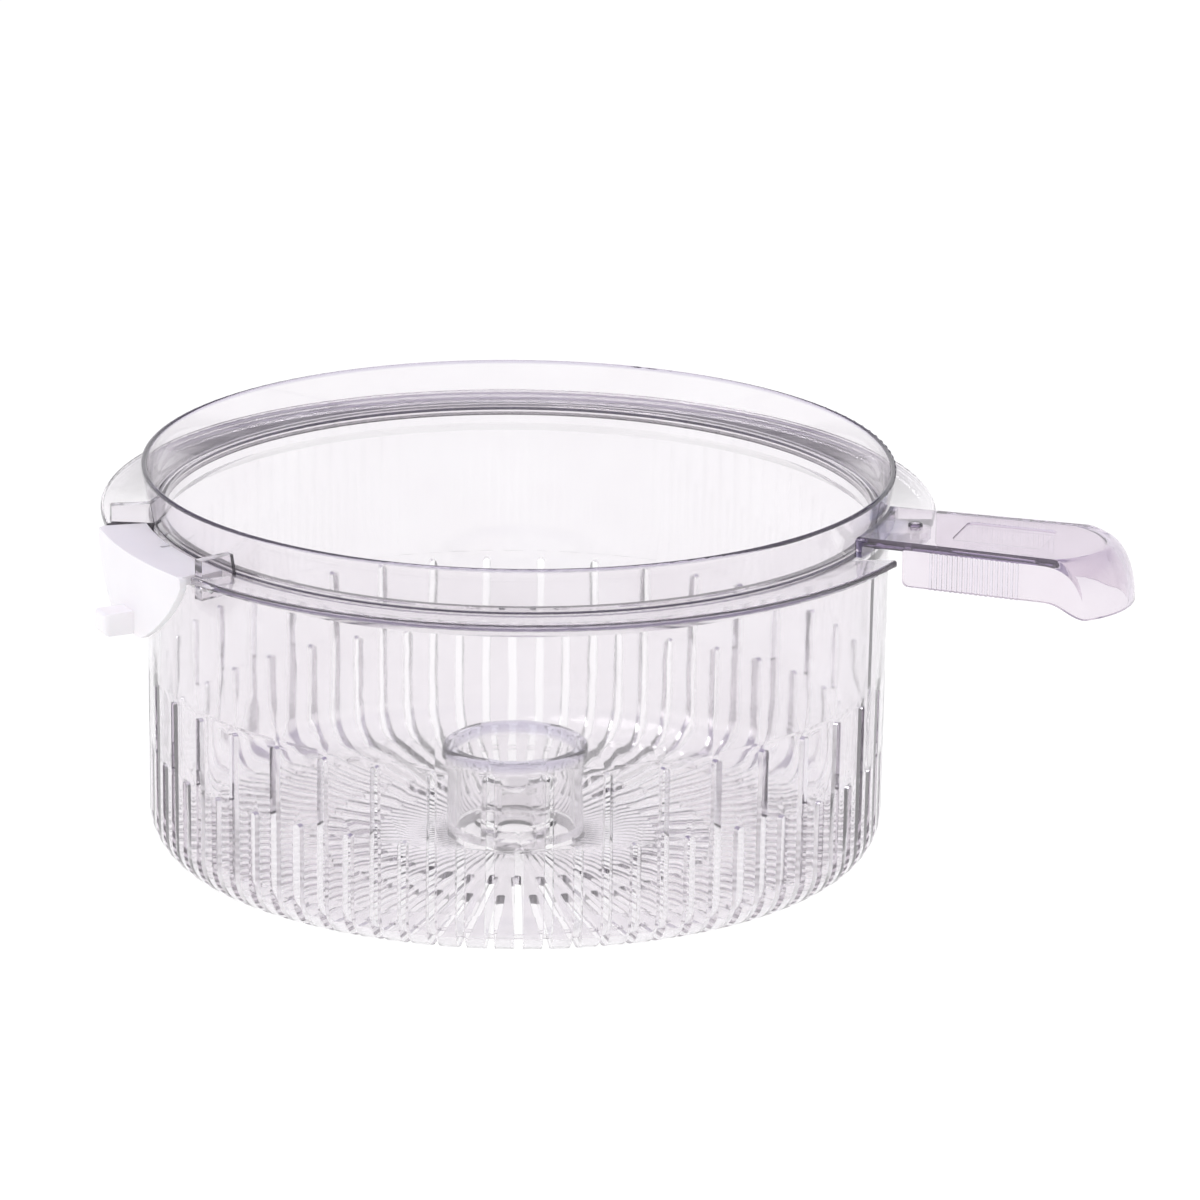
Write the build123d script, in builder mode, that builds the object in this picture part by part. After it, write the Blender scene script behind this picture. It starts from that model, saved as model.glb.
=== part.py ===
"""Salad spinner basket: a slotted clear drum that turns inside a clear carrier ring.

The ring has a hollow handle on one side and a sprung white latch on the other.
Frame: +Z up along the spin axis, +X along the handle, origin in the middle of the underside.
All sizes are in millimetres and all angles in degrees.
"""
import os
from math import cos, radians, sin, tan

from build123d import *

os.makedirs("parts", exist_ok=True)

# ---------------------------------------------------------------- driving dimensions
# Carrier ring: conical collar, flat flange and a ledge for the drum
rim_r = 120.0
rim_z = 127.0
collar_foot_r = 117.2
collar_wall = 1.9
flange_r = 132.6
flange_top_z = 113.4
flange_root_z = 112.0
flange_under_z = 110.9
flange_gap_half = 20.4
ledge_top_z = 111.4
ledge_under_z = 110.0
ledge_inner_r = 114.2
ledge_outer_r = 115.2
step_r = 118.6
glide_thickness = 0.8
tongue_low_z = 112.6
tongue_root_half = 9.5
tongue_end_half = 4.6
tongue_end_x = 135.4

# Drum
drum_top_r = 118.1
drum_foot_r = 117.2
drum_wall = 3.7
corner_r = 13.6
floor_z = 3.0
drum_shoulder_z = 109.7
spigot_outer_r = 113.9
spigot_inner_r = 112.4
bead_r = 114.9
bead_low_z = 112.5
bead_top_z = 113.5

# Drum slots: long and short ones take turns round the wall and run in under the floor
slot_pairs = 40
slot_phase = 5.6
slot_width = 2.8
slot_fine_width = 2.5
long_slot_top_z = 60.0
short_slot_top_z = 36.5
long_slot_inner_r = 62.0
short_slot_inner_r = 44.5
floor_rib_radii = (60.0, 69.0, 78.0, 87.0, 96.0)
floor_rib_width = 1.4
floor_rib_height = 1.2
cutter_wall_r = 101.0
cutter_far_r = 125.0
cutter_floor_z = 8.0

# Hub tube and drive bush
hub_r = 21.9
hub_bore_r = 18.9
hub_top_z = 33.5
hub_bead_r = 23.2
hub_bead_height = 3.4
hub_spigot_r = 20.9
web_low_z = 4.0
web_top_z = 7.0
bush_r = 11.2
bush_collar_r = 13.2
bush_top_z = 21.6
drive_bore_r = 6.0
drive_bore_depth = 10.0
socket_flats = 9.6
socket_top_z = 18.5

# Handle, along +X
handle_top_z = 118.9
handle_plate = 2.5
handle_wall = 2.2
handle_root_r = 118.9
handle_root_half = 19.6
handle_end_half = 21.3
handle_end_r = 31.0
handle_end_x = 201.5
handle_end_low_z = 100.7
handle_skirt_z = 105.0
handle_skirt_x = 132.6
handle_dome_r = 22.5
handle_edge_r = 1.6
grip_rib_count = 18
grip_rib_start_x = 142.0
grip_rib_end_x = 170.0
grip_rib_width = 0.8
grip_rib_height = 0.45
grip_rib_root = 0.4
lip_start_x = 191.5
skirt_rise_x = 178.5
panel_x = 160.0
panel_length = 29.0
panel_width = 21.0
panel_depth = 0.5
root_half_angle = 9.6
root_gap_half_angle = 5.2
root_wall = 2.4
rivet_x = 131.0
rivet_r = 1.5
rivet_head_r = 2.4
rivet_head_height = 1.1

# Latch, made along +X and then turned to its place on the ring
latch_angle = 225.0
recess_half_angle = 14.0
recess_inner_r = 117.5
lug_angle = 1.5
lug_outer_r = 131.0
lug_top_z = 118.9
pin_x = 122.6
pin_z = 108.8
pin_r = 1.0
plate_inner_r = 133.3
plate_outer_r = 135.5
plate_top_z = 113.2
plate_low_z = 87.8
plate_half = 31.0
shield_corner_z = 109.5
shield_foot_half = 8.5
catch_half = 8.0
catch_reach_x = 130.4
latch_rib_y = 15.0
latch_rib_width = 1.6
deck_inner_r = 120.2
deck_half_angle = 13.2
deck_under_z = 110.4
tab_end_x = 145.5
tab_low_z = 88.2
tab_top_z = 95.4
tab_half = 4.2
barrel_r = 2.2
barrel_end = 26.5
barrel_gap_half = 4.6
wire_r = 0.3
coil_r = 1.75
coil_pitch = 0.72
coil_turns = 5
web_leg = 7.5
collar_leg = 4.7

# Clearances
turning_gap = 0.3
seat_gap = 0.05
running_gap = 0.05


def sector(inner_r, outer_r, start, end):
    """A ring sector between two angles, as a sketch."""
    with BuildSketch() as shape:
        with BuildLine():
            outer = CenterArc((0, 0), outer_r, start, end - start)
            inner = CenterArc((0, 0), inner_r, start, end - start)
            Line(outer @ 0, inner @ 0)
            Line(outer @ 1, inner @ 1)
        make_face()
    return shape.sketch


def finish(piece, name):
    """Label a piece and write it to its own STEP file."""
    piece.label = name
    export_step(piece, f"parts/{name}.step")


# ---------------------------------------------------------------- carrier ring
recess_start = latch_angle - recess_half_angle
recess_end = latch_angle + recess_half_angle
lug_below_pin = 2.6
rivet_low_z = flange_root_z + 1.6

with BuildPart() as carrier_ring:
    with BuildSketch(Plane.XZ):
        with BuildLine():
            Polyline(
                (rim_r - collar_wall, rim_z),
                (rim_r, rim_z),
                (collar_foot_r, flange_root_z),
                (flange_r, flange_top_z),
                (flange_r, flange_under_z),
                (step_r, flange_under_z),
                (step_r, ledge_under_z),
                (ledge_inner_r, ledge_under_z),
                (ledge_inner_r, ledge_top_z),
                (ledge_outer_r, ledge_top_z),
                close=True,
            )
        make_face()
    revolve(axis=Axis.Z)
    rim_edges = carrier_ring.edges().filter_by_position(Axis.Z, rim_z - 0.01, rim_z + 0.01)
    fillet(rim_edges, 0.9)
    flange_edges = carrier_ring.edges().filter_by(
        lambda e: e.geom_type == GeomType.CIRCLE and abs(e.radius - flange_r) < 0.01
    )
    fillet(flange_edges, 0.8)
    # The latch sits in a gap in the flange that is closed by a lug at each end
    with BuildSketch(Plane.XY.offset(ledge_under_z)):
        add(sector(recess_inner_r, flange_r + 2.0, recess_start, recess_end))
    extrude(amount=flange_top_z + 0.1 - ledge_under_z, mode=Mode.SUBTRACT)
    for lug_start in (recess_start - lug_angle, recess_end):
        with BuildSketch(Plane.XY.offset(pin_z - lug_below_pin)):
            add(sector(step_r - 0.1, lug_outer_r, lug_start, lug_start + lug_angle))
        extrude(amount=flange_root_z - pin_z + lug_below_pin)
        with BuildSketch(Plane.XY.offset(flange_root_z)):
            add(sector(collar_foot_r - 0.5, lug_outer_r, lug_start, lug_start + lug_angle))
        extrude(amount=lug_top_z - flange_root_z)
    # The flange stops at both sides of the handle's root
    with BuildSketch(Plane.XY.offset(ledge_under_z)):
        with Locations((flange_r, 0)):
            Rectangle(60, 2 * flange_gap_half)
        Circle(step_r, mode=Mode.SUBTRACT)
    extrude(amount=flange_top_z + 0.1 - ledge_under_z, mode=Mode.SUBTRACT)
    # Tapered tongue that carries the handle
    with BuildSketch(Plane.XY.offset(tongue_low_z)):
        with BuildLine():
            Polyline(
                (collar_foot_r - 1.2, -tongue_root_half),
                (tongue_end_x, -tongue_end_half),
                (tongue_end_x, tongue_end_half),
                (collar_foot_r - 1.2, tongue_root_half),
                close=True,
            )
        make_face()
    extrude(amount=handle_top_z - handle_plate - turning_gap - tongue_low_z)
    tongue_edges = carrier_ring.edges().filter_by(Axis.Z).filter_by_position(
        Axis.X, tongue_end_x - 0.1, tongue_end_x + 0.1
    )
    fillet(tongue_edges, 3.0)
    # Blind hole for the handle rivet
    with BuildSketch(Plane.XY.offset(rivet_low_z - 0.2)):
        with Locations((rivet_x, 0)):
            Circle(rivet_r + seat_gap)
    extrude(amount=10, mode=Mode.SUBTRACT)
    # Bores for the latch pin through both lugs
    pin_plane = Plane(
        origin=(pin_x * cos(radians(latch_angle)), pin_x * sin(radians(latch_angle)), pin_z),
        x_dir=(cos(radians(latch_angle)), sin(radians(latch_angle)), 0),
        z_dir=(-sin(radians(latch_angle)), cos(radians(latch_angle)), 0),
    )
    with BuildSketch(pin_plane):
        Circle(pin_r + seat_gap)
    extrude(amount=40, both=True, mode=Mode.SUBTRACT)
finish(carrier_ring.part, "carrier_ring")

# ---------------------------------------------------------------- glide ring on the ledge
with BuildPart() as glide_ring:
    with BuildSketch(Plane.XY.offset(ledge_top_z)):
        Circle(ledge_outer_r - 0.1)
        Circle(ledge_inner_r + 0.1, mode=Mode.SUBTRACT)
    extrude(amount=glide_thickness)
finish(glide_ring.part, "glide_ring")

# ---------------------------------------------------------------- drum
wall_slope = (drum_top_r - drum_foot_r) / (drum_shoulder_z - corner_r)
inner_corner_r = corner_r - floor_z
inner_foot_r = drum_foot_r - drum_wall
inner_top_r = inner_foot_r + wall_slope * 90


def slot_cutter(width, inner_r, top_z):
    """A radial cutter that opens the floor, the corner and the wall up to a height."""
    with BuildPart() as cutter:
        with BuildSketch(Plane.XZ):
            with BuildLine():
                Polyline(
                    (inner_r, -2),
                    (cutter_far_r, -2),
                    (cutter_far_r, top_z),
                    (cutter_wall_r, top_z),
                    (cutter_wall_r, cutter_floor_z),
                    (inner_r, cutter_floor_z),
                    close=True,
                )
            make_face()
        extrude(amount=width / 2, both=True)
        upper = cutter.edges().filter_by(Axis.X).filter_by_position(Axis.Z, top_z - 0.1, top_z + 0.1)
        inner = cutter.edges().filter_by(Axis.Z).filter_by_position(Axis.X, inner_r - 0.1, inner_r + 0.1)
        fillet(upper + inner, width / 2 - 0.1)
    return cutter.part


long_cutter = slot_cutter(slot_width, long_slot_inner_r, short_slot_top_z)
short_cutter = slot_cutter(slot_width, short_slot_inner_r, short_slot_top_z)

with BuildPart() as fine_cutter:
    with BuildSketch(Plane.YZ.offset(cutter_wall_r)):
        with Locations((0, (long_slot_top_z + short_slot_top_z) / 2 - 4)):
            SlotOverall(long_slot_top_z - short_slot_top_z + 8, slot_fine_width, rotation=90)
    extrude(amount=cutter_far_r - cutter_wall_r)

with BuildPart() as drum:
    with BuildSketch(Plane.XZ):
        with BuildLine():
            Line((hub_spigot_r + seat_gap, 0), (drum_foot_r - corner_r, 0))
            RadiusArc((drum_foot_r - corner_r, 0), (drum_foot_r, corner_r), -corner_r)
            Polyline(
                (drum_foot_r, corner_r),
                (drum_top_r, drum_shoulder_z),
                (spigot_outer_r, drum_shoulder_z),
                (spigot_outer_r, bead_low_z),
                (bead_r, bead_low_z),
                (bead_r, bead_top_z - 0.5),
                (bead_r - 0.5, bead_top_z),
                (spigot_inner_r, bead_top_z),
                (spigot_inner_r, drum_shoulder_z - 2.4),
                (inner_top_r, drum_shoulder_z - 5.4),
                (inner_foot_r, corner_r),
            )
            RadiusArc((inner_foot_r, corner_r), (inner_foot_r - inner_corner_r, floor_z), inner_corner_r)
            Polyline(
                (inner_foot_r - inner_corner_r, floor_z),
                (hub_spigot_r + seat_gap, floor_z),
                (hub_spigot_r + seat_gap, 0),
            )
        make_face()
    revolve(axis=Axis.Z)
    slot_pitch = 360 / slot_pairs
    with PolarLocations(0, slot_pairs, start_angle=slot_phase):
        add(long_cutter, mode=Mode.SUBTRACT)
        add(fine_cutter.part, mode=Mode.SUBTRACT)
    with PolarLocations(0, slot_pairs, start_angle=slot_phase + slot_pitch / 2):
        add(short_cutter, mode=Mode.SUBTRACT)
    # Concentric ribs tie the bars of the floor together on its underside
    with BuildSketch(Plane.XY):
        for rib_r in floor_rib_radii:
            Circle(rib_r + floor_rib_width / 2)
            Circle(rib_r - floor_rib_width / 2, mode=Mode.SUBTRACT)
    extrude(amount=floor_rib_height)
finish(drum.part, "drum")

# ---------------------------------------------------------------- hub tube
with BuildPart() as hub_tube:
    with BuildSketch(Plane.XZ):
        with BuildLine():
            Polyline(
                (hub_bore_r, 0),
                (hub_spigot_r, 0),
                (hub_spigot_r, floor_z + seat_gap),
                (hub_r, floor_z + seat_gap),
                (hub_r, hub_top_z - hub_bead_height - 1.0),
                (hub_bead_r, hub_top_z - hub_bead_height),
                (hub_bead_r, hub_top_z),
                (hub_bore_r, hub_top_z),
                (hub_bore_r, web_top_z),
                (bush_r + seat_gap, web_top_z),
                (bush_r + seat_gap, web_low_z),
                (hub_bore_r, web_low_z),
                close=True,
            )
        make_face()
    revolve(axis=Axis.Z)
    hub_rim = hub_tube.edges().filter_by_position(Axis.Z, hub_top_z - 0.01, hub_top_z + 0.01)
    fillet(hub_rim, 1.3)
finish(hub_tube.part, "hub_tube")

# ---------------------------------------------------------------- drive bush
with BuildPart() as drive_bush:
    Cylinder(bush_r, bush_top_z, align=(Align.CENTER, Align.CENTER, Align.MIN))
    with BuildSketch(Plane.XY.offset(web_top_z + seat_gap)):
        Circle(bush_collar_r)
    extrude(amount=1.6)
    with BuildSketch(Plane.XY):
        Circle(drive_bore_r)
    extrude(amount=drive_bore_depth, mode=Mode.SUBTRACT)
    with BuildSketch(Plane.XY.offset(drive_bore_depth)):
        RegularPolygon(socket_flats / 2, 6, major_radius=False)
    extrude(amount=socket_top_z - drive_bore_depth, mode=Mode.SUBTRACT)
    bush_rim = drive_bush.edges().filter_by_position(Axis.Z, bush_top_z - 0.01, bush_top_z + 0.01)
    fillet(bush_rim, 1.2)
finish(drive_bush.part, "drive_bush")

# ---------------------------------------------------------------- handle
dome_x = handle_end_x - handle_end_r
plate_under_z = handle_top_z - handle_plate
skirt_corner_r = 2.2


def handle_half_width(x, inset=0.0):
    """Half the handle's width at a distance from the spin axis: it flares a little outwards."""
    flare = (handle_end_half - handle_root_half) / (dome_x - handle_root_r)
    return handle_root_half + flare * (x - handle_root_r) - inset


def handle_form(start_x, inset=0.0, top_inset=0.0):
    """The handle's outer form, or with insets the form of its hollow, with a domed end."""
    low = handle_end_low_z - 6
    top = handle_top_z - top_inset
    end_r = handle_end_r - inset
    flat_r = handle_dome_r - inset
    far_x = dome_x + handle_end_r + 2
    start_half = handle_half_width(start_x, inset)
    far_half = handle_half_width(far_x, inset)
    with BuildPart() as envelope:
        with BuildSketch(Plane.XZ):
            with BuildLine():
                Polyline(
                    (dome_x + flat_r, top),
                    (dome_x, top),
                    (dome_x, low),
                    (dome_x + end_r, low),
                    (dome_x + end_r, handle_end_low_z),
                )
                EllipticalCenterArc(
                    (dome_x + flat_r, handle_end_low_z),
                    end_r - flat_r,
                    top - handle_end_low_z,
                    start_angle=0,
                    arc_size=90,
                )
            make_face()
        revolve(axis=Axis((dome_x, 0, 0), (0, 0, 1)))
        with BuildSketch(Plane.XY.offset(low)):
            with Locations(((start_x - 1 + dome_x + 6.0) / 2, 0)):
                Rectangle(dome_x + 7.0 - start_x, 60)
        extrude(amount=top - low)
    with BuildPart() as form:
        with BuildSketch(Plane.XY.offset(low)):
            with BuildLine():
                Polyline(
                    (start_x, -start_half),
                    (far_x, -far_half),
                    (far_x, far_half),
                    (start_x, start_half),
                    close=True,
                )
            make_face()
        extrude(amount=top - low)
        add(envelope.part, mode=Mode.INTERSECT)
    return form.part


with BuildPart() as handle:
    add(handle_form(handle_root_r - 3))
    long_edges = handle.edges().filter_by(
        lambda e: e.center().Z > handle_top_z - 0.01 and abs(e.center().Y) > 15
    )
    fillet(long_edges, handle_edge_r)
    add(handle_form(handle_root_r - 6, handle_wall, handle_plate), mode=Mode.SUBTRACT)
    # Underside line of the skirts
    with BuildSketch(Plane.XZ):
        with BuildLine():
            Polyline(
                (skirt_rise_x, handle_skirt_z),
                (105, handle_skirt_z),
                (105, 80),
                (215, 80),
                (215, handle_end_low_z),
                (lip_start_x, handle_end_low_z),
            )
            Spline(
                (lip_start_x, handle_end_low_z),
                (skirt_rise_x, handle_skirt_z),
                tangents=((-1, 0.12), (-1, 0.0)),
            )
        make_face()
    extrude(amount=40, both=True, mode=Mode.SUBTRACT)
    # The skirts start clear of the ring, with a round lower corner
    with BuildSketch(Plane.XZ):
        with BuildLine():
            Line((105, plate_under_z), (handle_skirt_x, plate_under_z))
            Line((handle_skirt_x, plate_under_z), (handle_skirt_x, handle_skirt_z + skirt_corner_r))
            RadiusArc(
                (handle_skirt_x, handle_skirt_z + skirt_corner_r),
                (handle_skirt_x + skirt_corner_r, handle_skirt_z),
                -skirt_corner_r,
            )
            Polyline(
                (handle_skirt_x + skirt_corner_r, handle_skirt_z),
                (handle_skirt_x + skirt_corner_r, 90),
                (105, 90),
                (105, plate_under_z),
            )
        make_face()
    extrude(amount=40, both=True, mode=Mode.SUBTRACT)
    # Root wall that stands against the collar, open in the middle for the tongue
    with BuildSketch(Plane.XY.offset(flange_root_z + 0.9)):
        wing = root_half_angle - root_gap_half_angle
        add(sector(handle_root_r, handle_root_r + root_wall, -root_half_angle, -root_half_angle + wing))
        add(sector(handle_root_r, handle_root_r + root_wall, root_gap_half_angle, root_half_angle))
    extrude(amount=handle_top_z - 0.5 - flange_root_z - 0.9)
    with BuildSketch(Plane.XY.offset(80)):
        Circle(handle_root_r)
    extrude(amount=50, mode=Mode.SUBTRACT)
    # Ribs for grip on both sides
    rib_step = (grip_rib_end_x - grip_rib_start_x) / (grip_rib_count - 1)
    with BuildSketch(Plane.XY.offset(handle_skirt_z)):
        for i in range(grip_rib_count):
            x = grip_rib_start_x + i * rib_step
            y = handle_half_width(x) + (grip_rib_height - grip_rib_root) / 2
            with Locations((x, y), (x, -y)):
                Rectangle(grip_rib_width, grip_rib_height + grip_rib_root)
    extrude(amount=handle_top_z - handle_edge_r - 0.5 - handle_skirt_z)
    # Shallow panel in the top and the hole for the rivet
    with BuildSketch(Plane.XY.offset(handle_top_z)):
        with Locations((panel_x, 0)):
            RectangleRounded(panel_length, panel_width, 2.5)
    extrude(amount=-panel_depth, mode=Mode.SUBTRACT)
    with BuildSketch(Plane.XY.offset(handle_top_z)):
        with Locations((rivet_x, 0)):
            Circle(rivet_r + seat_gap)
    extrude(amount=-10, mode=Mode.SUBTRACT)
finish(handle.part, "handle")

# ---------------------------------------------------------------- handle rivet
with BuildPart() as handle_rivet:
    with BuildSketch(Plane.XY.offset(rivet_low_z)):
        with Locations((rivet_x, 0)):
            Circle(rivet_r)
    extrude(amount=handle_top_z - rivet_low_z)
    with BuildSketch(Plane.XY.offset(handle_top_z)):
        with Locations((rivet_x, 0)):
            Circle(rivet_head_r)
    extrude(amount=rivet_head_height)
    rivet_top_z = handle_top_z + rivet_head_height
    rivet_rim = handle_rivet.edges().filter_by_position(Axis.Z, rivet_top_z - 0.1, rivet_top_z + 0.1)
    fillet(rivet_rim, 0.7)
finish(handle_rivet.part, "handle_rivet")

# ---------------------------------------------------------------- latch, along +X before it is turned
with BuildPart() as finger_tab:
    with BuildSketch(Plane.XY.offset(tab_low_z)):
        with Locations(((plate_inner_r + 0.7 + tab_end_x) / 2, 0)):
            Rectangle(tab_end_x - plate_inner_r - 0.7, 2 * tab_half)
    extrude(amount=tab_top_z - tab_low_z)
    tab_edges = finger_tab.edges().filter_by_position(Axis.X, tab_end_x - 0.1, tab_end_x + 0.1)
    fillet(tab_edges, 1.8)

# Half of the shield's outline seen from outside, from its upper corner down to its foot
shield_side = (
    (plate_half, shield_corner_z),
    (28.8, 105.5),
    (22.5, 97.8),
    (14.5, 91.3),
    (shield_foot_half, plate_low_z),
)
shield_other_side = tuple((-y, z) for y, z in reversed(shield_side))

with BuildPart() as latch_form:
    # Curved shield that hugs the flange, cut to its outline seen from outside
    with BuildSketch(Plane.XY.offset(plate_low_z)):
        add(sector(plate_inner_r, plate_outer_r, -18, 18))
    extrude(amount=plate_top_z - plate_low_z)
    with BuildSketch(Plane.YZ.offset(plate_inner_r - 20)):
        with BuildLine():
            Polyline(
                (-plate_half, shield_corner_z),
                (-plate_half, plate_top_z),
                (plate_half, plate_top_z),
                (plate_half, shield_corner_z),
            )
            Spline(*shield_side)
            Line(shield_side[-1], shield_other_side[0])
            Spline(*shield_other_side)
        make_face()
    extrude(amount=40, mode=Mode.INTERSECT)
    top_corners = latch_form.edges().filter_by_position(Axis.Z, plate_top_z - 0.01, plate_top_z + 0.01)
    fillet(top_corners.filter_by(GeomType.LINE), 1.6)
    add(finger_tab.part)
    # Deck that fills the gap in the flange
    with BuildSketch(Plane.XY.offset(deck_under_z)):
        add(sector(deck_inner_r, plate_inner_r + 1.0, -deck_half_angle, deck_half_angle))
    extrude(amount=plate_top_z - deck_under_z)
    # Hinge barrels under the deck, with room between them for the spring
    barrel_length = barrel_end - barrel_gap_half
    for barrel_start in (-barrel_end, barrel_gap_half):
        with BuildSketch(Plane.XZ.offset(-barrel_start - barrel_length)):
            with Locations((pin_x, pin_z)):
                Circle(barrel_r)
            with Locations((pin_x, (pin_z + deck_under_z + 0.5) / 2)):
                Rectangle(2 * barrel_r, deck_under_z + 0.5 - pin_z)
        extrude(amount=barrel_length)
    spring_pocket_top_z = pin_z + coil_r + wire_r + 0.25
    with BuildSketch(Plane.XY.offset(spring_pocket_top_z)):
        with Locations((pin_x + 3.0, 0)):
            Rectangle(2 * web_leg - 3.0, 2 * barrel_gap_half - 0.2)
    extrude(amount=deck_under_z - 1.0 - spring_pocket_top_z, mode=Mode.SUBTRACT)
    # Notch that lets the deck swing past the spring's leg on the ring
    notch_y = -coil_turns * coil_pitch / 2
    with BuildSketch(Plane.XY.offset(deck_under_z - 1.0)):
        with Locations((pin_x - 2.5, notch_y)):
            Rectangle(7.0, 1.5)
    extrude(amount=6.0, mode=Mode.SUBTRACT)
    # Stiffening ribs under the deck, and the catch that grips a bowl's rim from below
    for rib_y in (-latch_rib_y, latch_rib_y):
        with BuildSketch(Plane.XZ.offset(-rib_y - latch_rib_width / 2)):
            with BuildLine():
                Polyline((126.5, deck_under_z + 0.2), (134.0, deck_under_z + 0.2), (134.0, 98.0), close=True)
            make_face()
        extrude(amount=latch_rib_width)
    with BuildSketch(Plane.XZ.offset(-catch_half)):
        with BuildLine():
            Polyline((134.0, 100.6), (catch_reach_x, 100.6), (catch_reach_x, 99.4), (134.0, 95.6), close=True)
        make_face()
    extrude(amount=2 * catch_half)
    with BuildSketch(Plane.XZ.offset(-40)):
        with Locations((pin_x, pin_z)):
            Circle(pin_r + running_gap)
    extrude(amount=80, mode=Mode.SUBTRACT)

with BuildPart() as latch:
    add(latch_form.part, rotation=(0, 0, latch_angle))
finish(latch.part, "latch")

# ---------------------------------------------------------------- latch pin
pin_half = (pin_x * tan(radians(recess_half_angle + lug_angle))) - 0.2
with BuildPart() as pin_form:
    with BuildSketch(Plane.XZ.offset(-pin_half)):
        with Locations((pin_x, pin_z)):
            Circle(pin_r)
    extrude(amount=2 * pin_half)
    chamfer(pin_form.edges().filter_by(GeomType.CIRCLE), 0.3)

with BuildPart() as latch_pin:
    add(pin_form.part, rotation=(0, 0, latch_angle))
finish(latch_pin.part, "latch_pin")

# ---------------------------------------------------------------- latch spring
# One wire, wound along Z first: a leg under the deck, the coil, and a leg that reaches the ring
coil_height = coil_turns * coil_pitch

with BuildPart() as wire_form:
    with BuildLine() as wire_path:
        coil = Helix(coil_pitch, coil_height, coil_r)
        Line((coil @ 0) - (coil % 0) * web_leg, coil @ 0)
        Line(coil @ 1, (coil @ 1) + (coil % 1) * collar_leg)
    with BuildSketch(Plane(origin=(coil @ 0) - (coil % 0) * web_leg, z_dir=coil % 0)):
        Circle(wire_r)
    sweep(path=wire_path.wires()[0])

with BuildPart() as spring_form:
    add(wire_form.part, rotation=(0, 0, 90))

with BuildPart() as spring_along_pin:
    with Locations((pin_x, coil_height / 2, pin_z)):
        add(spring_form.part, rotation=(90, 0, 0))

with BuildPart() as latch_spring:
    add(spring_along_pin.part, rotation=(0, 0, latch_angle))
finish(latch_spring.part, "latch_spring")
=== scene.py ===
"""Looks of the salad spinner basket: clear moulded plastic, a white latch, a steel pin and spring."""

import math

import bpy
from mathutils import Matrix, Vector


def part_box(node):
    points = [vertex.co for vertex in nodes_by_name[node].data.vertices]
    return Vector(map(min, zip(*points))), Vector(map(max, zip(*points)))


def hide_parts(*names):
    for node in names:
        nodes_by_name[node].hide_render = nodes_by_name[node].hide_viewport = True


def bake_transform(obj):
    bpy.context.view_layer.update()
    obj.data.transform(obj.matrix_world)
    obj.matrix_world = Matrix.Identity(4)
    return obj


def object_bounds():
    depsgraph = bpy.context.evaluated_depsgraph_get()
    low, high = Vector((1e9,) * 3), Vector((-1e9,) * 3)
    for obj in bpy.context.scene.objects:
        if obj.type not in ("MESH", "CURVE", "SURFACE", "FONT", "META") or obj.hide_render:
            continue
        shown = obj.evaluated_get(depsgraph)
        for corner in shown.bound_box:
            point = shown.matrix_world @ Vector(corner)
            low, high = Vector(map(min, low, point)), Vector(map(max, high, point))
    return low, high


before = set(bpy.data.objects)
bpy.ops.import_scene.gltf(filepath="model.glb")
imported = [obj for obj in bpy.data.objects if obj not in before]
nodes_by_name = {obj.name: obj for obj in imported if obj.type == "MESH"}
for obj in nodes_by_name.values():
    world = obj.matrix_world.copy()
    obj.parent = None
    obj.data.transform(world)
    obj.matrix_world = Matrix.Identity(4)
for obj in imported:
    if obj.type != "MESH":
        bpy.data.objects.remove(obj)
cad_low, cad_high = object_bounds()

# ---- camera -------------------------------------------------------------------------------------
# A long lens from a little above, turned from the handle's axis so that the handle points right.
CAMERA_DISTANCE = 2.6
CAMERA_HEIGHT = 0.880859
CAMERA_AZIMUTH = math.radians(18.4)
CAMERA_YAW = 0.010118
CAMERA_PITCH = 0.298494
CAMERA_ROLL = 0.013116
CAMERA_LENS = 255.92
CAMERA_NEAR = 0.1
CAMERA_FAR = 50.0
SENSOR_WIDTH = 36.0

# ---- places on the pieces, in metres ------------------------------------------------------------
RIM_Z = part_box("carrier_ring")[1][2]
RIM_EDGE_HEIGHT = 0.0012
HUB_TOP_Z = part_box("hub_tube")[1][2]
HUB_MOUTH_HEIGHT = 0.004
HUB_MOUTH_FADE = 0.0015
TONGUE_START_X = 0.1187
TONGUE_LENGTH = 0.006
TONGUE_FADE = 0.004
TONGUE_HALF_WIDTH = 0.0096
HANDLE_ROOT_R = 0.1201
HANDLE_ROOT_FADE = 0.0004
# The handle's half width is this at the spin axis, carried back from the grip, and grows along X
HANDLE_HALF_WIDTH = 0.01569
HANDLE_FLARE = 0.0329
GRIP_RIB_RISE = 0.00013

# ---- waves in the drum's wall -------------------------------------------------------------------
SLOT_PAIRS = 40
SLOT_PHASE = math.radians(5.6)
SHORT_SLOT_TOP_Z = 0.0365
FLUTE_WEIGHT = 0.6
# How many waves go round, and the lowest and highest Z of the band that they fill
FLUTE_BANDS = (
    (2 * SLOT_PAIRS, -0.01, SHORT_SLOT_TOP_Z),
    (SLOT_PAIRS, SHORT_SLOT_TOP_Z, 0.062),
)

# ---- colours, as red, green and blue from 0 to 1 ------------------------------------------------
EDGE_TINT = (0.56, 0.46, 0.68)
# Painted shade: a darker line along the collar's rounded rim edge
RIM_PAINTED_SHADE = (0.66, 0.62, 0.74)
# Painted shade on the tongue under the handle, between the collar and the rivet
TONGUE_PAINTED_SHADE = (0.5, 0.52, 0.64)
# Painted shade on the hub tube's thick mouth ring
MOUTH_PAINTED_SHADE = (0.72, 0.7, 0.81)
# Painted shade, near black, where the handle's root meets the collar
ROOT_PAINTED_SHADE = (0.08, 0.06, 0.13)
# Painted shade on the handle's grip ribs, a grey tone over the handle's tint
GRIP_RIB_PAINTED_SHADE = (0.9, 0.87, 0.92)
# What a surface of clear plastic takes from the light, where it is palest and where it is deepest
PALE_LOSS = (0.013, 0.028, 0.018)
DEEP_LOSS = (0.035, 0.056, 0.043)
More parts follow.
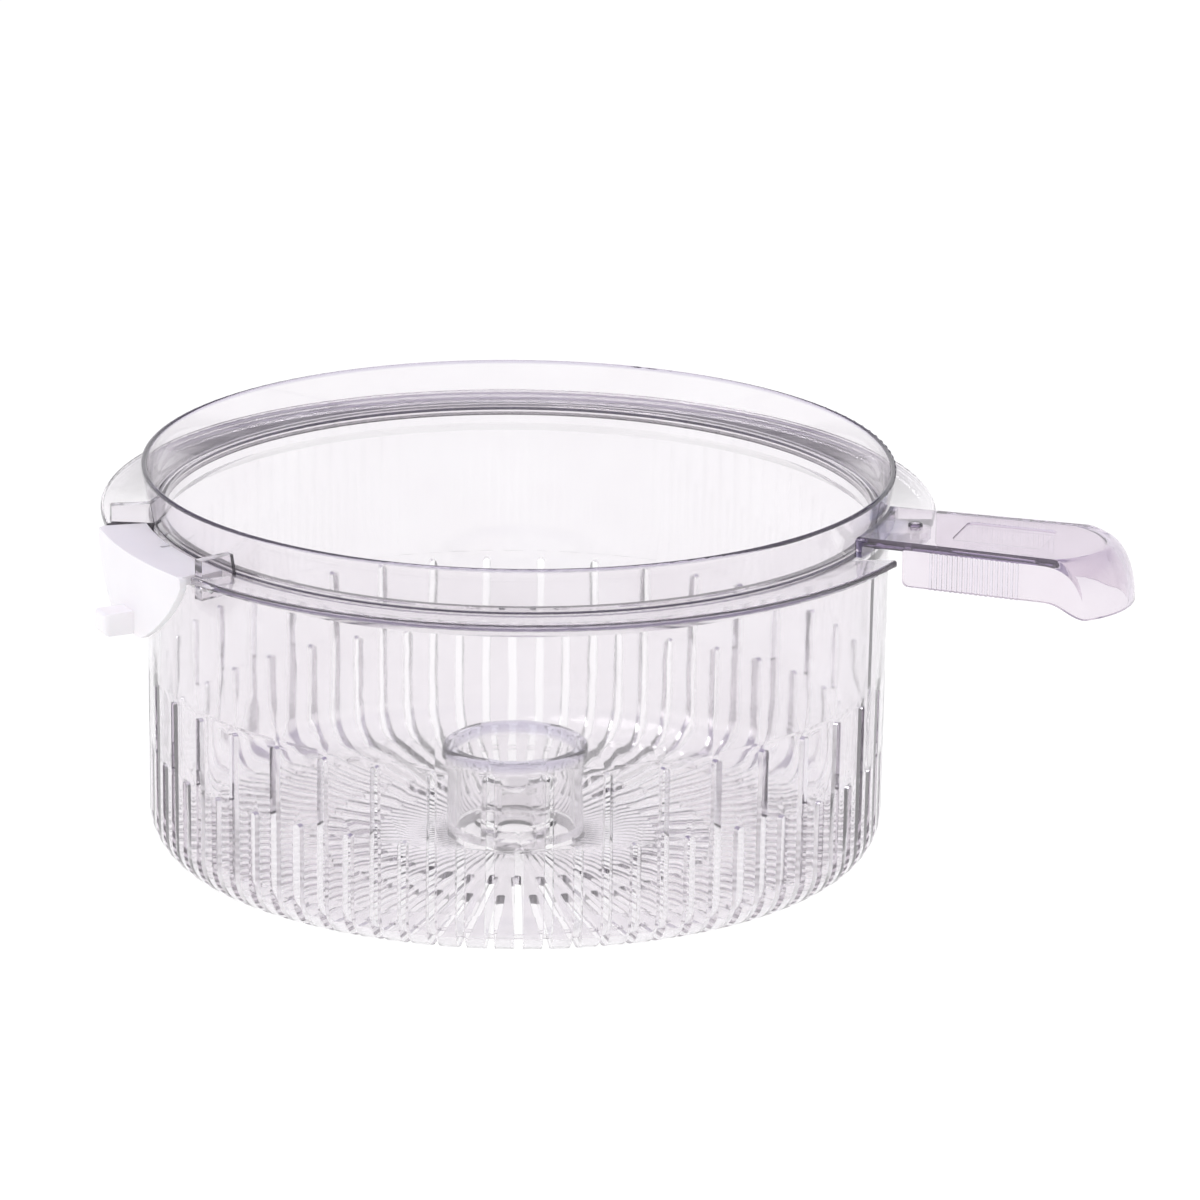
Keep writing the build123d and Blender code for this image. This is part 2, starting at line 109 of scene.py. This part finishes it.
# The two colours that a cloudy or lined surface wanders between
WHITE_COLOURS = ((0.95, 0.93, 0.938), (0.92, 0.9, 0.908))
SMOKE_COLOURS = ((0.09, 0.07, 0.15), (0.07, 0.055, 0.12))
STEEL_COLOURS = ((0.62, 0.62, 0.63), (0.5, 0.5, 0.52))
FLOOR_COLOURS = ((0.1, 0.1, 0.1), (0.09, 0.09, 0.09))

# ---- surface marks ------------------------------------------------------------------------------
# Scales are about how many marks lie in a metre
FLOW_SCALE = 38.0
RUB_SCALE = 420.0
WHITE_CLOUD_SCALE = 60.0
WHITE_GRAIN_SCALE = 2600.0
SMOKE_CLOUD_SCALE = 90.0
SMOKE_GRAIN_SCALE = 2000.0
DRAWN_LINE_SCALE = 900.0
FLOOR_GRAIN_SCALE = 30.0
# Rub marks are drawn out along Z and are shallow beside the flow marks; drawn lines are squeezed
RUB_STRETCH = (1.0, 1.0, 0.15)
RUB_WEIGHT = 0.03
DRAWN_LINE_STRETCH = (1.0, 1.0, 6.0)
# Depths in metres
GRAIN_DEPTH = 0.00003
DRAWN_LINE_DEPTH = 0.00002
# Lowest and highest roughness
CLEAR_ROUGHNESS = (0.012, 0.05)
WHITE_ROUGHNESS = (0.34, 0.46)
SMOKE_ROUGHNESS = (0.36, 0.5)
STEEL_ROUGHNESS_SPREAD = 0.15

# ---- studio -------------------------------------------------------------------------------------
FLOOR_HALF = 12.0
FLOOR_GAP = 0.0005
FLOOR_GLOW = 0.99
LIGHT_SIDE = 1.0
# The sine of the height above the horizon, and the colour there
SKY_WHITE = (0.31, (1.0, 1.0, 1.0, 1.0))
SKY_DARK = (0.5, (0.2, 0.15, 0.31, 1.0))
SKY_TOP = (1.0, (0.72, 0.68, 0.75, 1.0))


def make_camera():
    """The view of the reference picture: orbit by the azimuth, then yaw, pitch and roll on the spot."""
    data = bpy.data.cameras.new("camera")
    data.lens = CAMERA_LENS
    data.sensor_width = SENSOR_WIDTH
    data.clip_start = CAMERA_NEAR
    data.clip_end = CAMERA_FAR
    camera = bpy.data.objects.new("camera", data)
    bpy.context.scene.collection.objects.link(camera)
    forward = Vector((
        math.sin(CAMERA_YAW) * math.cos(CAMERA_PITCH),
        math.cos(CAMERA_YAW) * math.cos(CAMERA_PITCH),
        -math.sin(CAMERA_PITCH),
    ))
    right = Vector((math.cos(CAMERA_YAW), -math.sin(CAMERA_YAW), 0.0))
    up = right.cross(forward)
    right_rolled = right * math.cos(CAMERA_ROLL) + up * math.sin(CAMERA_ROLL)
    up_rolled = up * math.cos(CAMERA_ROLL) - right * math.sin(CAMERA_ROLL)
    turn = Matrix.Rotation(CAMERA_AZIMUTH, 4, "Z")
    pose = Matrix((right_rolled, up_rolled, -forward)).transposed().to_4x4()
    pose.translation = Vector((0.0, -CAMERA_DISTANCE, CAMERA_HEIGHT))
    camera.matrix_world = turn @ pose
    bpy.context.scene.camera = camera


# ---- shader helpers -----------------------------------------------------------------------------
class Shader:
    """A material with one Principled surface and short calls for the nodes that feed it."""

    def __init__(self, name):
        self.material = bpy.data.materials.new(name)
        self.material.use_nodes = True
        self.tree = self.material.node_tree
        self.tree.nodes.clear()
        self.output = self.tree.nodes.new("ShaderNodeOutputMaterial")
        self.surface = self.tree.nodes.new("ShaderNodeBsdfPrincipled")
        self.tree.links.new(self.surface.outputs[0], self.output.inputs["Surface"])
        self.place = self.tree.nodes.new("ShaderNodeTexCoord").outputs["Object"]
        split = self.tree.nodes.new("ShaderNodeSeparateXYZ")
        self.tree.links.new(self.place, split.inputs[0])
        self.x, self.y, self.z = split.outputs

    def set(self, **values):
        """Plain values on the Principled sockets, with _ for a blank in the socket's name."""
        for key, value in values.items():
            self.surface.inputs[key.replace("_", " ")].default_value = value

    def colour(self, socket):
        """A socket that gives the base colour."""
        self.tree.links.new(socket, self.surface.inputs["Base Color"])

    def roughness(self, socket):
        """A socket that gives the roughness."""
        self.tree.links.new(socket, self.surface.inputs["Roughness"])

    def bump(self, height, depth):
        """Bump of a depth in metres for heights of 0 to 1."""
        node = self.tree.nodes.new("ShaderNodeBump")
        node.inputs["Strength"].default_value = 1.0
        node.inputs["Distance"].default_value = depth
        self.tree.links.new(height, node.inputs["Height"])
        self.tree.links.new(node.outputs["Normal"], self.surface.inputs["Normal"])

    def absorb(self, colour, density):
        """Light lost along its way inside the piece, which darkens long ways such as edges."""
        node = self.tree.nodes.new("ShaderNodeVolumeAbsorption")
        node.inputs["Color"].default_value = (*colour, 1.0)
        node.inputs["Density"].default_value = density
        self.tree.links.new(node.outputs[0], self.output.inputs["Volume"])

    def stretch(self, scale):
        """Object coordinates with a scale on each axis."""
        node = self.tree.nodes.new("ShaderNodeMapping")
        node.inputs["Scale"].default_value = scale
        self.tree.links.new(self.place, node.inputs["Vector"])
        return node.outputs["Vector"]

    def noise(self, scale, detail=3.0, place=None):
        """Soft random blotches, mostly between 0.3 and 0.7."""
        node = self.tree.nodes.new("ShaderNodeTexNoise")
        node.inputs["Scale"].default_value = scale
        node.inputs["Detail"].default_value = detail
        node.inputs["Roughness"].default_value = 0.5
        self.tree.links.new(place or self.place, node.inputs["Vector"])
        return node.outputs["Fac"]

    def remap(self, value, low, high, start=0.3, stop=0.7):
        """value from start..stop stretched to low..high."""
        node = self.tree.nodes.new("ShaderNodeMapRange")
        node.inputs["From Min"].default_value = start
        node.inputs["From Max"].default_value = stop
        node.inputs["To Min"].default_value = low
        node.inputs["To Max"].default_value = high
        self.tree.links.new(value, node.inputs["Value"])
        return node.outputs["Result"]

    def mix(self, factor, first, second):
        """A colour between two plain colours."""
        node = self.tree.nodes.new("ShaderNodeMix")
        node.data_type = "RGBA"
        node.inputs["A"].default_value = (*first, 1.0)
        node.inputs["B"].default_value = (*second, 1.0)
        self.tree.links.new(factor, node.inputs["Factor"])
        return node.outputs["Result"]

    def paint_shade(self, mask, base, colour):
        """Painted shade: a base colour that turns to a plain colour where the mask is 1."""
        node = self.tree.nodes.new("ShaderNodeMix")
        node.data_type = "RGBA"
        node.inputs["B"].default_value = (*colour, 1.0)
        self.tree.links.new(mask, node.inputs["Factor"])
        self.tree.links.new(base, node.inputs["A"])
        return node.outputs["Result"]

    def add(self, first, second, weight):
        """first + second * weight."""
        node = self.tree.nodes.new("ShaderNodeMath")
        node.operation = "MULTIPLY_ADD"
        self.tree.links.new(second, node.inputs[0])
        node.inputs[1].default_value = weight
        self.tree.links.new(first, node.inputs[2])
        return node.outputs[0]

    def calculate(self, operation, first, second=0.0):
        """One Math node; second is a socket or a plain number."""
        node = self.tree.nodes.new("ShaderNodeMath")
        node.operation = operation
        self.tree.links.new(first, node.inputs[0])
        if isinstance(second, float):
            node.inputs[1].default_value = second
        else:
            self.tree.links.new(second, node.inputs[1])
        return node.outputs[0]

    def both(self, first, second):
        """1 where both masks are 1."""
        return self.calculate("MULTIPLY", first, second)

    def flutes(self, count, low_z, high_z):
        """Upright waves round the Z axis, -1 to 1, between two heights."""
        turn = self.calculate("MULTIPLY", self.calculate("ARCTAN2", self.y, self.x), float(count))
        wave = self.calculate("COSINE", self.calculate("SUBTRACT", turn, SLOT_PHASE * count))
        above = self.calculate("GREATER_THAN", self.z, low_z)
        below = self.calculate("LESS_THAN", self.z, high_z)
        return self.calculate("MULTIPLY", wave, self.both(above, below))


# ---- masks for painted shade --------------------------------------------------------------------
def rim_mask(shader):
    """The rounded edge of the collar."""
    start = RIM_Z - RIM_EDGE_HEIGHT
    return shader.remap(shader.z, 0.0, 1.0, start, start + RIM_EDGE_HEIGHT / 2)


def mouth_mask(shader):
    """The thick mouth of the hub tube."""
    start = HUB_TOP_Z - HUB_MOUTH_HEIGHT
    return shader.remap(shader.z, 0.0, 1.0, start, start + HUB_MOUTH_FADE)


def tongue_mask(shader):
    """The tongue's first stretch, between the collar and the rivet under the handle."""
    end = TONGUE_START_X + TONGUE_LENGTH
    beyond = shader.calculate("GREATER_THAN", shader.x, TONGUE_START_X)
    near = shader.remap(shader.x, 1.0, 0.0, end, end + TONGUE_FADE)
    narrow = shader.calculate("LESS_THAN", shader.calculate("ABSOLUTE", shader.y), TONGUE_HALF_WIDTH)
    return shader.both(shader.both(beyond, near), narrow)


def root_mask(shader):
    """The end of the handle that meets the collar."""
    x_squared = shader.calculate("MULTIPLY", shader.x, shader.x)
    y_squared = shader.calculate("MULTIPLY", shader.y, shader.y)
    distance = shader.calculate("SQRT", shader.calculate("ADD", x_squared, y_squared))
    return shader.remap(distance, 1.0, 0.0, HANDLE_ROOT_R, HANDLE_ROOT_R + HANDLE_ROOT_FADE)


def grip_rib_mask(shader):
    """The grip ribs, which stand out of the handle's flaring sides."""
    side = shader.calculate("ABSOLUTE", shader.y)
    flare = shader.calculate("MULTIPLY", shader.x, HANDLE_FLARE)
    straightened = shader.calculate("SUBTRACT", side, flare)
    return shader.calculate("GREATER_THAN", straightened, HANDLE_HALF_WIDTH + GRIP_RIB_RISE)


# ---- materials ----------------------------------------------------------------------------------
def clear_plastic(name, density, ripple, haze=0.06, ior=1.5, cast=1.0, fluted=False, painted_shades=()):
    """Clear moulded plastic with a faint lavender haze, flow ripples and fine rub marks.

    density is how fast light is lost inside, and ripple is the depth of the flow marks. haze is the
    share of light that doesn't pass. cast is how strongly each surface tints what is seen through it.
    The last argument holds pairs of a mask function and the colour of the painted shade on the thick or
    joined places that the mask picks out.
    """
    shader = Shader(name)
    shader.set(Transmission_Weight=1.0 - haze, IOR=ior)
    flow = shader.noise(FLOW_SCALE, detail=2.0)
    rub = shader.noise(RUB_SCALE, detail=4.0, place=shader.stretch(RUB_STRETCH))
    pale = tuple(1.0 - cast * loss for loss in PALE_LOSS)
    deep = tuple(1.0 - cast * loss for loss in DEEP_LOSS)
    base = shader.mix(shader.remap(flow, 0.0, 1.0), pale, deep)
    # Painted shade over the plastic's own tint, on the places that each mask picks out
    for mask, colour in painted_shades:
        base = shader.paint_shade(mask(shader), base, colour)
    shader.colour(base)
    shader.roughness(shader.remap(rub, *CLEAR_ROUGHNESS))
    height = shader.add(flow, rub, RUB_WEIGHT)
    if fluted:
        for count, low_z, high_z in FLUTE_BANDS:
            height = shader.add(height, shader.flutes(count, low_z, high_z), FLUTE_WEIGHT)
    shader.bump(height, ripple)
    shader.absorb(EDGE_TINT, density)
    return shader.material


def white_plastic(name):
    """Satin white polymer, a little see-through at its edges."""
    shader = Shader(name)
    shader.set(IOR=1.49, Subsurface_Weight=0.35, Subsurface_Scale=0.004)
    shader.set(Subsurface_Radius=(1.0, 0.9, 0.85))
    cloud = shader.noise(WHITE_CLOUD_SCALE)
    shader.colour(shader.mix(shader.remap(cloud, 0.0, 1.0), *WHITE_COLOURS))
    shader.roughness(shader.remap(cloud, *WHITE_ROUGHNESS))
    shader.bump(shader.noise(WHITE_GRAIN_SCALE, detail=2.0), GRAIN_DEPTH)
    return shader.material


def smoke_plastic(name):
    """Dark smoke-grey bearing plastic, satin."""
    shader = Shader(name)
    shader.set(IOR=1.49)
    cloud = shader.noise(SMOKE_CLOUD_SCALE)
    shader.colour(shader.mix(shader.remap(cloud, 0.0, 1.0), *SMOKE_COLOURS))
    shader.roughness(shader.remap(cloud, *SMOKE_ROUGHNESS))
    shader.bump(shader.noise(SMOKE_GRAIN_SCALE, detail=2.0), GRAIN_DEPTH)
    return shader.material


def steel(name, roughness):
    """Drawn steel wire or rod with fine lines."""
    shader = Shader(name)
    shader.set(Metallic=1.0)
    lines = shader.noise(DRAWN_LINE_SCALE, place=shader.stretch(DRAWN_LINE_STRETCH))
    shader.colour(shader.mix(shader.remap(lines, 0.0, 1.0), *STEEL_COLOURS))
    shader.roughness(shader.remap(lines, roughness, roughness + STEEL_ROUGHNESS_SPREAD))
    shader.bump(lines, DRAWN_LINE_DEPTH)
    return shader.material


def dress_pieces():
    """One material on each piece of the CAD model."""
    # The collar, hub and handle get painted shade on their rim, tongue, mouth, root and grip ribs
    looks = {
        "carrier_ring": clear_plastic(
            "clear_collar", density=16.0, ripple=0.00005,
            painted_shades=((rim_mask, RIM_PAINTED_SHADE), (tongue_mask, TONGUE_PAINTED_SHADE)),
        ),
        "drum": clear_plastic("clear_drum", density=9.0, ripple=0.00007, fluted=True),
        "hub_tube": clear_plastic(
            "clear_hub", density=1.0, ripple=0.00003, haze=0.03, ior=1.3, cast=0.3,
            painted_shades=((mouth_mask, MOUTH_PAINTED_SHADE),),
        ),
        "drive_bush": clear_plastic(
            "clear_bush", density=0.5, ripple=0.00002, haze=0.02, ior=1.15, cast=0.2,
        ),
        "handle": clear_plastic(
            "clear_handle", density=58.0, ripple=0.00006, haze=0.08, cast=2.8,
            painted_shades=((root_mask, ROOT_PAINTED_SHADE), (grip_rib_mask, GRIP_RIB_PAINTED_SHADE)),
        ),
        "handle_rivet": clear_plastic("clear_rivet", density=60.0, ripple=0.00002),
        "glide_ring": smoke_plastic("smoke_polymer"),
        "latch": white_plastic("white_latch"),
        "latch_pin": steel("pin_steel", roughness=0.2),
        "latch_spring": steel("spring_steel", roughness=0.25),
    }
    for node_name, material in looks.items():
        slots = nodes_by_name[node_name].data.materials
        slots.clear()
        slots.append(material)


# ---- spring -------------------------------------------------------------------------------------
def make_spring():
    """The latch's spring as an object of its own, a copy of the piece, which is hidden; one leg lies
    under the latch's deck and the other on the ring.
    """
    wire = nodes_by_name["latch_spring"]
    spring = bpy.data.objects.new("bent_latch_spring", wire.data.copy())
    bpy.context.scene.collection.objects.link(spring)
    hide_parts("latch_spring")
    # The leg that stays on the ring is nearer the end of the pin with the lower X
    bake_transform(spring)


# ---- floor, world and lights --------------------------------------------------------------------
def make_floor():
    """A pale matt floor that stays evenly bright."""
    data = bpy.data.meshes.new("floor")
    floor_z = cad_low.z - FLOOR_GAP
    corners = [(-1, -1), (1, -1), (1, 1), (-1, 1)]
    data.from_pydata([(x * FLOOR_HALF, y * FLOOR_HALF, floor_z) for x, y in corners], [], [(0, 1, 2, 3)])
    floor = bpy.data.objects.new("floor", data)
    bpy.context.scene.collection.objects.link(floor)
    shader = Shader("floor")
    shader.colour(shader.mix(shader.noise(FLOOR_GRAIN_SCALE), *FLOOR_COLOURS))
    shader.set(Roughness=0.9, Emission_Color=(1.0, 1.0, 1.0, 1.0), Emission_Strength=FLOOR_GLOW)
    shader.set(Specular_IOR_Level=0.0)
    data.materials.append(shader.material)


def make_world():
    """White low down, dark above that and grey at the top, so that clear edges show as dark lines."""
    world = bpy.data.worlds.new("studio")
    bpy.context.scene.world = world
    world.use_nodes = True
    tree = world.node_tree
    tree.nodes.clear()
    output = tree.nodes.new("ShaderNodeOutputWorld")
    background = tree.nodes.new("ShaderNodeBackground")
    direction = tree.nodes.new("ShaderNodeTexCoord")
    split = tree.nodes.new("ShaderNodeSeparateXYZ")
    ramp = tree.nodes.new("ShaderNodeValToRGB")
    tree.links.new(direction.outputs["Generated"], split.inputs[0])
    tree.links.new(split.outputs["Z"], ramp.inputs["Fac"])
    tree.links.new(ramp.outputs["Color"], background.inputs["Color"])
    tree.links.new(background.outputs[0], output.inputs["Surface"])
    stops = ramp.color_ramp.elements
    stops[0].position, stops[0].color = SKY_WHITE
    stops[1].position, stops[1].color = SKY_TOP
    stops.new(SKY_DARK[0]).color = SKY_DARK[1]


def make_light(name, place, target, power):
    """A soft square light that doesn't show as a patch in the clear plastic."""
    data = bpy.data.lights.new(name, "AREA")
    data.shape = "SQUARE"
    data.size = LIGHT_SIDE
    data.energy = power
    light = bpy.data.objects.new(name, data)
    bpy.context.scene.collection.objects.link(light)
    light.visible_glossy = False
    light.location = place
    light.rotation_euler = (Vector(target) - Vector(place)).to_track_quat("-Z", "Y").to_euler()


make_camera()
dress_pieces()
make_spring()
make_floor()
make_world()
make_light("top", place=(-0.6, -0.7, 2.1), target=(-0.05, 0.0, 0.1), power=17.0)
make_light("left", place=(-1.5, -1.6, 0.8), target=(-0.05, 0.0, 0.08), power=3.0)
bpy.context.scene.view_settings.view_transform = "Standard"
